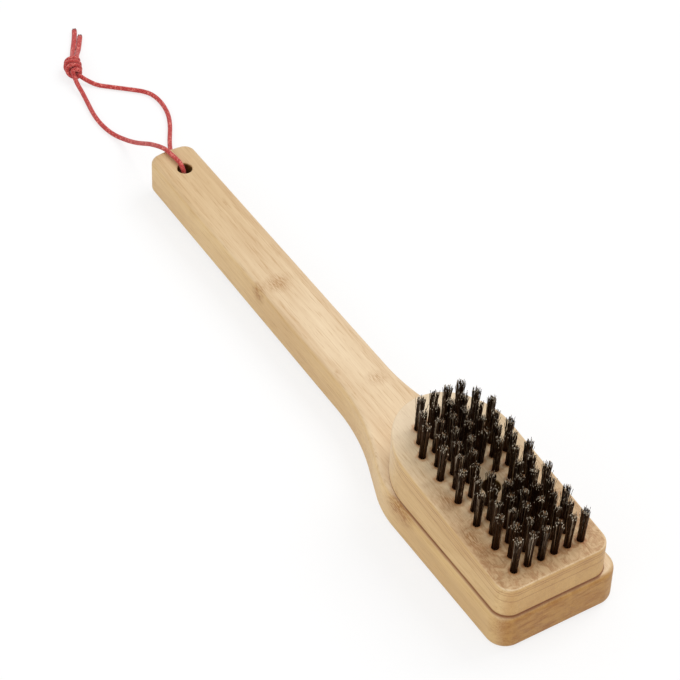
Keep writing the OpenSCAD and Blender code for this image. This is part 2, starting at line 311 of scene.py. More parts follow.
def newGroup(name, inputs, outputs):
    # a shader group: its tree, what it is given and the node that takes its results
    tree = bpy.data.node_groups.new(name, "ShaderNodeTree")
    for label, kind, value in inputs:
        socket = tree.interface.new_socket(label, in_out="INPUT", socket_type="NodeSocket" + kind)
        if value is not None:
            socket.default_value = value
    for label, kind in outputs:
        tree.interface.new_socket(label, in_out="OUTPUT", socket_type="NodeSocket" + kind)
    return tree, tree.nodes.new("NodeGroupInput").outputs, tree.nodes.new("NodeGroupOutput")


grainLook = {
    # how far each noise is drawn out along X, Y and Z, its detail, its roughness and its shift
    "fibres": ((30, 1100, 1100), 4, 0.65, 0.0),
    "coarse": ((7, 240, 240), 3, 0.55, 3.1),
    "blotches": ((12, 40, 40), 3, 0.55, 7.7),
    "dashes": ((75, 1300, 1300), 2, 0.5, 1.9),
    "dashStops": [(0.56, 0.0), (0.7, 1.0)],
    "coarseContrast": 0.55,
    "blotchContrast": 0.7,
    "dashTone": -0.34,
    "middleTone": 0.67,
    # far enough for the strips to be counted from one side
    "stripShift": 0.4,
    "fibreHeight": 0.7,
    "dashHeight": -0.5,
    "roughnessRange": 0.25,
    "leastRoughness": 0.36,
}


def bambooGroup():
    # grain runs along X: glued strips, fine fibres, darker dashes and soft blotches
    look = grainLook
    tree, given, results = newGroup(
        "bambooGrain",
        [("Place", "Vector", None), ("Strip Width", "Float", 0.02), ("Strip Contrast", "Float", 0.3),
         ("Fibre Contrast", "Float", 0.5), ("Light", "Color", (1, 1, 1, 1)),
         ("Dark", "Color", (0.5, 0.4, 0.3, 1))],
        [("Color", "Color"), ("Height", "Float"), ("Roughness", "Float")])

    def drawnOut(name):
        scale, detail, roughness, shift = look[name]
        return noiseOf(tree, stretched(tree, given["Place"], scale, shift), 1, detail, roughness)

    def offMiddle(value, contrast):
        return times(tree, calc(tree, "SUBTRACT", value, 0.5), contrast)

    aside = calc(tree, "ADD", separated(tree, given["Place"])["Y"], look["stripShift"])
    strip = calc(tree, "FLOOR", calc(tree, "DIVIDE", aside, given["Strip Width"]))
    tone = addNode(tree, "TexWhiteNoise", {"W": strip}, noise_dimensions="1D").outputs["Value"]
    fibres, coarse = drawnOut("fibres"), drawnOut("coarse")
    dashes = rampOf(tree, drawnOut("dashes"), look["dashStops"])
    shade = offMiddle(fibres, given["Fibre Contrast"])
    for value, contrast in ((tone, given["Strip Contrast"]), (coarse, look["coarseContrast"]),
                            (drawnOut("blotches"), look["blotchContrast"])):
        shade = calc(tree, "ADD", shade, offMiddle(value, contrast))
    shade = calc(tree, "ADD", shade, times(tree, dashes, look["dashTone"]))
    factor = calc(tree, "ADD", shade, look["middleTone"], clamp=True)
    height = calc(tree, "ADD", times(tree, fibres, look["fibreHeight"]),
                  times(tree, dashes, look["dashHeight"]))
    roughness = calc(tree, "ADD", times(tree, coarse, look["roughnessRange"]), look["leastRoughness"])
    feed(tree, results, {"Color": mixed(tree, factor, given["Dark"], given["Light"]),
                         "Height": height, "Roughness": roughness})
    return tree


def knuckleGroup():
    # a bamboo node: a band of dark dashes across the grain, soft at its ends
    tree, given, results = newGroup(
        "bambooKnuckle",
        [("Place", "Vector", None), ("Centre", "Vector", (0, 0, 0)),
         ("Reach", "Vector", (0.008, 0.01, 0.01))],
        [("Mask", "Float")])
    away = addNode(tree, "VectorMath", {0: given["Place"], 1: given["Centre"]}, operation="SUBTRACT")
    share = addNode(tree, "VectorMath", {0: away.outputs[0], 1: given["Reach"]}, operation="DIVIDE")
    length = addNode(tree, "VectorMath", {0: share.outputs[0]}, operation="LENGTH")
    soft = rampOf(tree, length.outputs["Value"], [(0.2, 1.0), (1.0, 0.0)])
    noise = noiseOf(tree, stretched(tree, given["Place"], (260, 1300, 1300)), 1, 1)
    specks = rampOf(tree, noise, [(0.42, 0.25), (0.62, 1.0)])
    feed(tree, results, {"Mask": times(tree, soft, specks)})
    return tree


def stainGroup():
    # a brown ring round every tuft: the same lattice as the holes, in the face's own frame
    tree, given, results = newGroup(
        "rootStain",
        [("Place", "Vector", None), ("Front Gap", "Float", tufts["frontGap"]),
         ("Row Pitch", "Float", tufts["rowPitch"]), ("Pitch", "Float", tufts["pitch"]),
         ("Reach", "Float", 0.0025)],
        [("Mask", "Float")])
    ragged = 4 * mm
    outerShare = 2.1
    # steps from the middle of the face, rows and columns together, within which places are bare
    bareSteps = 1.2
    at = separated(tree, given["Place"])
    along = calc(tree, "SUBTRACT", times(tree, at["X"], -1.0), given["Front Gap"])
    row = calc(tree, "ROUND", calc(tree, "DIVIDE", along, given["Row Pitch"]))
    # every second row is shifted by half a pitch
    odd = calc(tree, "FLOORED_MODULO", row, 2.0)
    half = times(tree, calc(tree, "SUBTRACT", 1.0, odd), 0.5)
    off = calc(tree, "SUBTRACT", along, times(tree, row, given["Row Pitch"]))
    pitches = calc(tree, "DIVIDE", at["Y"], given["Pitch"])
    column = calc(tree, "ADD", calc(tree, "ROUND", calc(tree, "SUBTRACT", pitches, half)), half)
    across = calc(tree, "SUBTRACT", at["Y"], times(tree, column, given["Pitch"]))
    away = calc(tree, "SQRT", calc(tree, "ADD", times(tree, off, off), times(tree, across, across)))
    noise = noiseOf(tree, given["Place"], 420, 3)
    rough = times(tree, calc(tree, "SUBTRACT", noise, 0.5), ragged)
    ring = addNode(tree, "MapRange", {
        "Value": calc(tree, "ADD", away, rough), "From Min": given["Reach"],
        "From Max": times(tree, given["Reach"], outerShare), "To Min": 1, "To Max": 0,
    }, interpolation_type="SMOOTHSTEP")
    # the rearmost row is narrower by one place on each side
    lastRow = calc(tree, "GREATER_THAN", row, tufts["rows"] - 1.5)
    fromMiddle = calc(tree, "ABSOLUTE", calc(tree, "SUBTRACT", row, middleRow))
    aside = calc(tree, "ABSOLUTE", column)
    inside = times(tree, calc(tree, "LESS_THAN", fromMiddle, tufts["rows"] / 2),
                   calc(tree, "LESS_THAN", calc(tree, "ADD", aside, lastRow), tufts["wideRow"] / 2 - 0.4))
    nearMiddle = calc(tree, "ADD", fromMiddle, aside)
    inside = times(tree, inside, calc(tree, "GREATER_THAN", nearMiddle, bareSteps))
    feed(tree, results, {"Mask": times(tree, ring.outputs[0], inside)})
    return tree


bamboo = bambooGroup()
knuckle = knuckleGroup()
stain = stainGroup()


def startWood(name, look):
    # a bamboo material with its grain, the place in the wood's own frame and which way the surface faces
    material, tree, shader = newMaterial(name)
    coordinates = addNode(tree, "TexCoord").outputs
    place = turnedBy(tree, coordinates["Object"], toRest.inverted())
    facing = separated(tree, coordinates["Normal"])
    grain = addNode(tree, "Group", node_tree=bamboo)
    feed(tree, grain, {"Place": place, **look["grain"]})
    return material, tree, shader, place, facing, grain.outputs


def addKnuckles(tree, place, colour, look):
    for centre, reach, strength in look["knuckles"]:
        spot = addNode(tree, "Group", node_tree=knuckle)
        feed(tree, spot, {"Place": place, "Centre": Vector(centre) * mm, "Reach": Vector(reach) * mm})
        colour = mixed(tree, times(tree, spot.outputs["Mask"], strength), colour, look["knuckle"])
    return colour


paddleLook = {
    "grain": {"Strip Width": 20.5 * mm, "Strip Contrast": 0.16, "Fibre Contrast": 0.75,
              "Light": mixColour(238, 214, 178), "Dark": mixColour(196, 158, 112)},
    "grip": mixColour(238, 230, 214),
    "side": mixColour(246, 236, 208),
    "headSide": mixColour(241, 234, 219),
    "front": mixColour(206, 174, 112),
    "mottle": mixColour(220, 196, 152),
    # painted shade along the rim under the block's edge
    "jointShade": mixColour(164, 110, 48),
    "jointShadeShare": 0.9,
    # painted shade on the wall of the hang hole
    "hole": mixColour(128, 108, 66),
    "knuckle": mixColour(160, 106, 38),
    "mottleStretch": (1, 0.22, 1),
    "mottleStops": [(0.44, 0.0), (0.66, 1.0)],
    # where each mask is 0 and where it is 1
    "gripAlong": (200 * mm, 30 * mm),
    "gripFacing": (0.5, 0.9),
    "sideFacing": (0.5, 0.95),
    "frontFacing": (0.35, 0.9),
    "headAlong": (330 * mm, 360 * mm),
    "offTopFacing": (0.97, 0.8),
    "rimHeight": (wood["thick"] - 1.6 * mm, wood["thick"] - 0.4 * mm),
    "leftOf": (blockHalf, blockHalf - 0.5 * mm),
    "cornerRound": (block["corner"] + 0.2 * mm, block["corner"] + 0.8 * mm),
    "ledgeAcross": (28 * mm, 33 * mm),
    "holeRound": (paddle["holeDiameter"] / 2 + 0.6 * mm, paddle["holeDiameter"] / 2 + 0.1 * mm),
    "holeHeight": (wood["thick"] - 0.4 * mm, wood["thick"] - 2 * mm),
    # middle and reach of each bamboo node in millimetres, and how dark it is
    "knuckles": [
        ((146, -17.4, 22), (9, 7, 9), 1.0),
        ((149, -4, 27), (10, 11, 6), 0.75),
        ((252.5, 5, 27), (8, 9, 5), 0.5),
        ((348, -40.5, 21), (18, 8, 10), 1.0),
        ((351, -40.5, 23), (14, 7, 8), 0.9),
        ((236, -13, 27), (3, 2, 2), 0.5),
        ((66.2, 5.5, 27), (3, 1.2, 1.2), 0.8),
        ((3, -8, 24), (9, 8, 6), 0.35),
        ((452, -36, 19), (10, 10, 10), 0.6),
        ((457, 24, 13), (5, 14, 8), 0.5),
    ],
}


def wideLedge(tree, where):
    # the wide ledge outside the round of the block's right front corner
    beyond = []
    for axis, start in (("X", blockFront), ("Y", blockHalf)):
        step = calc(tree, "MAXIMUM", calc(tree, "SUBTRACT", where[axis], start - block["corner"]), 0.0)
        beyond.append(times(tree, step, step))
    away = calc(tree, "SQRT", calc(tree, "ADD", *beyond))
    return times(tree, band(tree, away, paddleLook["cornerRound"]),
                 band(tree, where["Y"], paddleLook["ledgeAcross"]))


def holeShade(tree, where):
    # the hang hole's wall below its rim, where painted shade goes
    axis = addNode(tree, "CombineXYZ", {0: where["X"], 1: where["Y"]})
    away = addNode(tree, "VectorMath", {0: axis.outputs[0], 1: (paddle["holeAt"], 0, 0)},
                   operation="DISTANCE")
    return times(tree, band(tree, away.outputs["Value"], paddleLook["holeRound"]),
                 band(tree, where["Z"], paddleLook["holeHeight"]))


def paddleWood():
    look = paddleLook
    material, tree, shader, place, facing, grain = startWood("paddleBamboo", look)
    where = separated(tree, place)
    # the grip is a little darker than the rest, and the sides of the head are more golden
    grip = times(tree, band(tree, where["X"], look["gripAlong"]),
                 band(tree, facing["Z"], look["gripFacing"]))
    side = band(tree, calc(tree, "ABSOLUTE", facing["Y"]), look["sideFacing"])
    front = band(tree, facing["X"], look["frontFacing"])
    atHead = band(tree, where["X"], look["headAlong"])
    headSide = times(tree, atHead, band(tree, facing["Z"], look["offTopFacing"]),
                     calc(tree, "SUBTRACT", 1.0, front))
    # mottled end grain, drawn out across the board
    noise = noiseOf(tree, stretched(tree, place, look["mottleStretch"]), 380, 5, 0.65)
    mottle = times(tree, front, rampOf(tree, noise, look["mottleStops"]))
    # painted shade where the block meets the paddle's rounded rim, but not along the wide ledge
    jointShade = times(tree, band(tree, where["Z"], look["rimHeight"]), atHead,
                 band(tree, where["Y"], look["leftOf"]),
                 calc(tree, "SUBTRACT", 1.0, wideLedge(tree, where)), look["jointShadeShare"])
    colour = grain["Color"]
    # the last two tints are painted shade: along the rim under the block's edge, and on the wall of the
    # hang hole
    for amount, tint in ((grip, "grip"), (side, "side"), (headSide, "headSide"), (front, "front"),
                         (mottle, "mottle"), (jointShade, "jointShade"), (holeShade(tree, where), "hole")):
        colour = tinted(tree, amount, colour, look[tint])
    colour = addKnuckles(tree, place, colour, look)
    feed(tree, shader, {"Base Color": colour, "Roughness": grain["Roughness"]})
    addBump(tree, shader, grain["Height"], 0.3, 0.3 * mm)
    return material


blockLook = {
    "grain": {"Strip Width": 12.5 * mm, "Strip Contrast": 0.22, "Fibre Contrast": 0.8,
              "Light": mixColour(238, 214, 176), "Dark": mixColour(192, 152, 104)},
    "side": mixColour(242, 231, 202),
    "front": mixColour(230, 208, 168),
    # glue lines along the sides, a little below the face
    "glueLines": (-2.8 * mm, -4.7 * mm, -9.8 * mm),
    "glue": mixColour(186, 140, 88),
    "glueShare": 0.4,
    "nose": mixColour(250, 234, 208),
    "noseShare": 0.4,
    "scuff": mixColour(196, 148, 92),
    "scuffShare": 0.5,
    # painted shade among the tufts
    "tuftShade": mixColour(226, 198, 156),
    "tuftShadeShare": 0.5,
    "root": mixColour(206, 150, 88),
    "rootShare": 0.62,
    "rootReach": 2.4 * mm,
    # painted shade along the block's foot, where it meets the paddle
    "jointShade": mixColour(150, 96, 40),
    "jointShadeShare": 0.9,
    # painted shade on the wall of the recess
    "recessShadeTint": mixColour(120, 104, 62),
    "wearStops": [(0.47, 0.0), (0.58, 1.0)],
    # where each mask is 0 and where it is 1
    "uprightFacing": (0.8, 0.4),
    "sideFacing": (0.3, 0.9),
    "frontFacing": (0.5, 0.95),
    "topFacing": (0.8, 0.95),
    "glueGap": (0.7 * mm, 0.1 * mm),
    "noseAlong": (-112 * mm, -142 * mm),
    "wearAlong": (-120 * mm, -10 * mm),
    "jointShadeHeight": (wood["thick"] + 1.4 * mm, wood["thick"] + 0.5 * mm),
    "pitRound": (block["recessDepth"] + 0.8 * mm, block["recessDepth"] - 0.2 * mm),
    "pitHeight": (-0.4 * mm, -1.4 * mm),
    "pitMiddle": (block["recess"] / 2 + 2.5 * mm, block["recess"] / 2 + 0.5 * mm),
    "knuckle": mixColour(160, 110, 58),
    "knuckles": [
        ((412, -32, 53), (17, 7, 7), 0.95),
        ((380, -29, 55), (13, 7, 7), 0.8),
        ((428, -31, 51.5), (11, 7, 7), 0.8),
        ((448, -20, 50), (6, 12, 6), 0.3),
    ],
}


def recessShade(tree, facePlace, onFaceAt):
    # where painted shade goes: round the recess's bottom, below the face and close to its middle
    look = blockLook
    middle = rowX(middleRow)
    away = addNode(tree, "VectorMath", {0: facePlace, 1: (middle, 0, -block["recessDepth"])},
                   operation="DISTANCE")
    wall = times(tree, band(tree, away.outputs["Value"], look["pitRound"]),
                 band(tree, onFaceAt["Z"], look["pitHeight"]))
    for offset in (calc(tree, "SUBTRACT", onFaceAt["X"], middle), onFaceAt["Y"]):
        wall = times(tree, wall, band(tree, calc(tree, "ABSOLUTE", offset), look["pitMiddle"]))
    return wall


def blockWood():
    look = blockLook
    material, tree, shader, place, facing, grain = startWood("blockBamboo", look)
    # the same place in the frame of the sloped face
    facePlace = turnedBy(tree, place, onFace.inverted())
    onFaceAt = separated(tree, facePlace)
    upright = band(tree, calc(tree, "ABSOLUTE", facing["Z"]), look["uprightFacing"])
    side = band(tree, calc(tree, "ABSOLUTE", facing["Y"]), look["sideFacing"])
    front = band(tree, facing["X"], look["frontFacing"])
    top = band(tree, facing["Z"], look["topFacing"])
    colour = tinted(tree, side, grain["Color"], look["side"])
    colour = tinted(tree, front, colour, look["front"])
    for depth in look["glueLines"]:
        gap = calc(tree, "ABSOLUTE", calc(tree, "SUBTRACT", onFaceAt["Z"], depth))
        line = times(tree, band(tree, gap, look["glueGap"]), upright, look["glueShare"])
        colour = tinted(tree, line, colour, look["glue"])
    # the face is pale at its nose, scuffed and stained round the tufts, and darkened among the tufts with
    # painted shade
    nose = times(tree, band(tree, onFaceAt["X"], look["noseAlong"]), look["noseShare"])
    colour = mixed(tree, nose, colour, look["nose"])
    towardFront = times(tree, band(tree, onFaceAt["X"], look["wearAlong"]), top)
    rough = noiseOf(tree, place, 150, 6, 0.7, 1.2)
    worn = times(tree, rampOf(tree, rough, look["wearStops"]), towardFront)
    roots = addNode(tree, "Group", node_tree=stain)
    feed(tree, roots, {"Place": facePlace, "Reach": look["rootReach"]})
    # the second tint is painted shade among the tufts; the scuffs and the stains round the roots are the
    # wood's own
    for tint, *masks in (("scuff", worn), ("tuftShade", towardFront), ("root", roots.outputs["Mask"], top)):
        colour = tinted(tree, times(tree, *masks, look[tint + "Share"]), colour, look[tint])
    colour = addKnuckles(tree, place, colour, look)
    # painted shade along the block's foot at the paddle, and painted shade on the wall of the recess
    jointShade = times(tree, band(tree, separated(tree, place)["Z"], look["jointShadeHeight"]), look["jointShadeShare"])
    colour = tinted(tree, jointShade, colour, look["jointShade"])
    colour = tinted(tree, recessShade(tree, facePlace, onFaceAt), colour, look["recessShadeTint"])
    feed(tree, shader, {"Base Color": colour, "Roughness": grain["Roughness"]})
    addBump(tree, shader, calc(tree, "ADD", grain["Height"], times(tree, worn, rough)), 0.45, 0.5 * mm)
    return material


def wireSteel():
    # dark wire with painted glints: many tips are bright, and some wires are paler
    material, tree, shader = newMaterial("darkWire")
    tone = addNode(tree, "Attribute", attribute_name="wireTone").outputs["Fac"]
    shade = rampOf(tree, tone, [(0.0, mixColour(48, 28, 15)), (0.5, mixColour(92, 66, 43)),
                                (1.0, mixColour(242, 230, 208))])
    feed(tree, shader, {"Base Color": shade, "Metallic": 1.0, "Roughness": 0.42})
    return material


def plainSteel(name, colour, roughness):
    material, tree, shader = newMaterial(name)
    noise = noiseOf(tree, addNode(tree, "TexCoord").outputs["Object"], 900)
    darker = tuple(c * 0.6 for c in colour[:3]) + (1,)
    shade = rampOf(tree, noise, [(0.3, darker), (0.7, colour)])
    feed(tree, shader, {"Base Color": shade, "Metallic": 1.0, "Roughness": roughness})
    return material


yarn = {
    # the valleys between the yarns are painted dark, a painted shade in the creases
    "shadedValley": mixColour(104, 10, 16),
    "ridge": mixColour(203, 58, 52),
    "fleck": mixColour(240, 138, 124),
    "frayed": mixColour(92, 34, 34),
    "roughness": 0.72,
    "sheen": 0.25,
}


def cordYarn():
    # a braid of slanted yarns: U runs round the cord and V along it, both in turns of the braid
    material, tree, shader = newMaterial("redBraid")
    around = separated(tree, addNode(tree, "UVMap", uv_map="braid").outputs[0])

    def ridge(operation):
        slanted = calc(tree, operation, around["X"], around["Y"])
        return calc(tree, "ABSOLUTE", calc(tree, "SINE", times(tree, slanted, math.tau)))
    weave = calc(tree, "MAXIMUM", ridge("ADD"), ridge("SUBTRACT"))
    height = addNode(tree, "MapRange", {"Value": weave, "From Min": 0.4}).outputs[0]
    noise = noiseOf(tree, addNode(tree, "TexCoord").outputs["Object"], 700, 3)
    fleck = rampOf(tree, noise, [(0.53, 0.0), (0.66, 0.75)])
    frayed = addNode(tree, "Attribute", attribute_name="frayed").outputs["Fac"]
    # painted shade: the colour darkens into the valleys between the yarns
    colour = mixed(tree, height, yarn["shadedValley"], yarn["ridge"])
    colour = mixed(tree, fleck, colour, yarn["fleck"])
    colour = mixed(tree, frayed, colour, yarn["frayed"])
    feed(tree, shader, {"Base Color": colour, "Roughness": yarn["roughness"],
                        "Sheen Weight": yarn["sheen"]})
    addBump(tree, shader, calc(tree, "ADD", height, noise), 0.5, 0.2 * mm)
    return material


finishes = {
    "paddle": paddleWood(),
    "block": blockWood(),
    "wire": wireSteel(),
    "anchor": plainSteel("anchorSteel", mixColour(150, 146, 140), 0.4),
    "screw": plainSteel("screwSteel", mixColour(92, 84, 74), 0.5),
    "cord": cordYarn(),
}
print("materials made")

# The cord: its points are listed in millimetres from the butt end
cord = {
    "diameter": 3.2 * mm,
    "gap": 0.15 * mm,
    "sides": 24,
    "step": 0.35 * mm,
    "perSpan": 12,
    "braid": 0.1 * mm,
    "yarns": 6,
    "lay": 3.4 * mm,
    "fray": 2.4 * mm,
    "frayTaper": 0.1,
    "frayWave": 0.12,
    "flatTail": 1.18,
    "flatFrom": 15 * mm,
    "upper": [
        (23.5, -1, 17), (23.5, -1, 21.5), (23.5, -1, 25.4), (23, -1, 28), (21.5, -1.1, 30.3),
        (19.2, -1.2, 31.8), (16.6, -1.3, 32.3), (10.5, -1.8, 32.3), (5.4, -2.3, 32.2),
        (1.2, -2.6, 31.6), (-3.4, -3, 30), (-8.5, -3.3, 27.6), (-17.7, -3.6, 22.4), (-26, -4.1, 17),
        (-33.7, -4.5, 12), (-42, -5.1, 7.4), (-49, -6, 4.4), (-56, -7.5, 2.4), (-62.7, -9.2, 1.7),
        (-69.5, -10.3, 1.6), (-76.4, -10.7, 1.6), (-83.1, -10.4, 1.6), (-90, -9.5, 1.6),
        (-100, -7.7, 1.8), (-109.5, -6.2, 2.6), (-117.8, -5.6, 4.4), (-126.1, -4, 5.7)],
    "lower": [
        (23.5, -1, 17), (23.5, -1, 12.5), (23.5, -1, 8.5), (23, -0.8, 5.9), (21.6, -0.3, 3.6),
        (19.5, 0.4, 2.1), (17, 1.3, 1.6), (10, 3.9, 1.6), (2, 6.8, 1.6), (-6, 9.6, 1.6),
        (-14, 12.4, 1.6), (-21.5, 15.1, 1.6), (-28.8, 18, 1.6), (-35.3, 21.4, 1.6), (-41.5, 25.1, 1.6),
        (-47.5, 28.6, 1.6), (-53.2, 31.5, 1.6), (-58.6, 33.7, 1.6), (-64.1, 35.2, 1.6),
        (-70.2, 36.2, 1.6), (-76.1, 36.4, 1.6), (-81.5, 35.8, 1.6), (-86.2, 34.3, 1.6),
        (-90, 31.8, 1.6), (-93.4, 28.6, 1.6), (-99.2, 22.2, 1.6), (-106.1, 14.4, 1.6),
        (-112.6, 7.6, 1.6), (-118.8, 2.8, 3.2), (-124.7, -1, 5.7)],
    "longTail": [
        (-143.3, 4, 5.7), (-149, 7.2, 3.6), (-155.5, 11.2, 1.8), (-163, 16, 1.6), (-169, 19.6, 1.6),
        (-175, 22.8, 1.6)],
    "shortTail": [
        (-141.9, 7, 5.7), (-147, 9.9, 3.6), (-152.5, 13.6, 1.8), (-158, 17.3, 1.6), (-163, 20.5, 1.6),
        (-167, 23, 1.6)],
}
knot = {
    "centre": (-134, 1.5, 6.45),
    "turn": 155,
    "half": 10 * mm,
    "wrapRadius": 4.7 * mm,
    "apart": 1.8 * mm,
    "strand": 0.98,
    "firstPhase": 0.6,
    "turns": 2.0,
    "steps": 36,
    "spread": 0.82,
    "backward": 0.2,
    "lean": 18,
    "bulge": 1.4 * mm,
    # shares of the wrap's radius at its ends, and of the side that swells
    "inner": 0.42,
    "swollen": 1.15,
    # how far the strands stand out of the knot, as a share of its half length
    "mouth": 1.02,
}


def smoothLine(points, step):
    # a Catmull-Rom curve through the points, cut into short even steps
    points = [Vector(p) for p in points]
    ends = [2 * points[0] - points[1]] + points + [2 * points[-1] - points[-2]]
    fine = []
    for a, b, c, d in zip(ends, ends[1:], ends[2:], ends[3:]):
        for k in range(cord["perSpan"]):
            t = k / cord["perSpan"]
            fine.append(0.5 * (2 * b + (c - a) * t + (2 * a - 5 * b + 4 * c - d) * t * t
                               + (3 * b - a - 3 * c + d) * t * t * t))
    fine.append(points[-1])
    line = [fine[0]]
    left = step
    for a, b in zip(fine, fine[1:]):
        length = (b - a).length
        while length > 0 and left <= length:
            a = a.lerp(b, left / length)
            line.append(a.copy())
            length = (b - a).length
            left = step
        left -= length
    if (line[-1] - fine[-1]).length > step / 2:
        line.append(fine[-1])
    return line


def lineLength(line):
    return sum((b - a).length for a, b in zip(line, line[1:]))


def braidHeight(u, v):
    # 1 on the ridges of the yarns that slant either way, less between them
    return max(abs(math.sin(math.pi * (u + v))), abs(math.sin(math.pi * (u - v))))


def tubeAlong(name, line, radius, fraySpan=0.0, wide=1.0):
    # rings that keep their twist along the line, raised a little where a yarn passes
    sides = cord["sides"]
    points, faces, turns, frays = [], [], [], []
    ahead = (line[1] - line[0]).normalized()
    side = ahead.cross(Vector((0, 1, 0)) if abs(ahead.y) < 0.9 else Vector((1, 0, 0))).normalized()
    run = 0.0
    total = lineLength(line)
    for k, p in enumerate(line):
        ahead = (line[min(k + 1, len(line) - 1)] - line[max(k - 1, 0)]).normalized()
        side = (side - ahead * side.dot(ahead)).normalized()
        other = ahead.cross(side)
        if k:
            run += (p - line[k - 1]).length
        nearEnd = max(0.0, 1 - (total - run) / fraySpan) if fraySpan else 0.0
        flat = other * (1 + (wide - 1) * min(1.0, run / cord["flatFrom"]) ** 2)
        for i in range(sides):
            angle = math.tau * i / sides
            ridge = braidHeight(cord["yarns"] * i / sides, run / cord["lay"] * 2)
            r = radius - cord["braid"] * (1 - ridge) * 2
            if nearEnd:
                wave = cord["frayWave"] * nearEnd * math.sin(5 * angle + 3 * run / radius)
                r *= 1 - cord["frayTaper"] * nearEnd + wave
            points.append(p + (side * math.cos(angle) + flat * math.sin(angle)) * r)
            frays.append(nearEnd)
        turns.append(run / cord["lay"])
    for k in range(len(line) - 1):
        for i in range(sides):
            j = (i + 1) % sides
            faces.append((k * sides + i, (k + 1) * sides + i, (k + 1) * sides + j, k * sides + j))
    faces.append(tuple(range(sides)))
    last = (len(line) - 1) * sides
    faces.append(tuple(last + i for i in range(sides - 1, -1, -1)))
    piece = meshPiece(name, points, faces)
    layer = piece.data.uv_layers.new(name="braid")
    for polygon in piece.data.polygons:
        atSeam = len(polygon.vertices) == 4 and any(v % sides == sides - 1 for v in polygon.vertices)
        for loop in polygon.loop_indices:
            ring, i = divmod(piece.data.loops[loop].vertex_index, sides)
            if i == 0 and atSeam:
                i = sides
            layer.data[loop].uv = (cord["yarns"] * i / sides / 2, turns[ring])
    markPoints(piece, "frayed", frays)
    editAll(piece)
    bpy.ops.mesh.normals_make_consistent(inside=False)
    leaveEdit()
    bpy.ops.object.shade_smooth()
    return piece


def placed(points):
    # a small gap above the floor
    return [Vector(p) * mm + Vector((centreShift, wood["aside"], cord["gap"])) for p in points]


def knotStrand(phase):
    # one strand of the knot: in along its middle, two leaning turns round it, and out again
    half = knot["half"]
    lean = math.tan(math.radians(knot["lean"]))
    mouth = half * knot["mouth"]
    points = [(-mouth, knot["apart"] * math.cos(phase), 0)]
    for k in range(knot["steps"] + 1):
        t = k / knot["steps"]
        angle = phase + math.tau * knot["turns"] * t
        swell = math.sin(math.pi * t) ** 0.5
        r = knot["wrapRadius"] * (knot["inner"] + (1 - knot["inner"]) * swell)
        across = r * math.cos(angle)
        along = (t * 2 - 1 - knot["backward"]) * half * knot["spread"] + lean * across * swell
        side = across * (knot["swollen"] if across > 0 else 1.0) + knot["bulge"] * swell
        points.append((along, side, r * math.sin(angle)))
    points.append((mouth, knot["apart"] * math.cos(phase), 0))
    middle = placed([knot["centre"]])[0]
    turned = Matrix.Translation(middle) @ Matrix.Rotation(math.radians(knot["turn"]), 4, "Z")
    return [turned @ Vector(p) for p in points]


def makeKnot():
    strands = []
    for name, phase in (("knotA", knot["firstPhase"]), ("knotB", knot["firstPhase"] + math.pi)):
        line = smoothLine(knotStrand(phase), cord["step"])
        strands.append(tubeAlong(name, line, cord["diameter"] / 2 * knot["strand"]))
    return finishPiece(joinPieces(strands), "knot_of_cord", finishes["cord"], ["cord_knot"])


def makeTail(name, key, node):
    line = smoothLine(placed(cord[key]), cord["step"])
    tail = tubeAlong(name, line, cord["diameter"] / 2, cord["fray"], cord["flatTail"])
    return finishPiece(tail, name, finishes["cord"], [node])


def makeCord():
    ends = [makeKnot(), makeTail("long_cord_tail", "longTail", "cord_tail_long"),
            makeTail("short_cord_tail", "shortTail", "cord_tail_short")]
    for name, key, node, extra in (("upper_cord", "upper", "cord_upper_run", ends),
                                   ("lower_cord", "lower", "cord_lower_run", [])):
        line = smoothLine(placed(cord[key]), cord["step"])
        run = tubeAlong(name, line, cord["diameter"] / 2)
        finishPiece(run, name, finishes["cord"], [node])


makeCord()
print("cord laid")


def heading(angle):
    return Vector((math.cos(math.radians(angle)), math.sin(math.radians(angle))))


def arcPoints(centre, radius, start, stop, steps, skip=0):
    return [Vector(centre) + radius * heading(start + (stop - start) * k / steps)
            for k in range(skip, steps + 1)]


def mirrored(half):
    return [Vector((p.x, -p.y)) for p in reversed(half)]


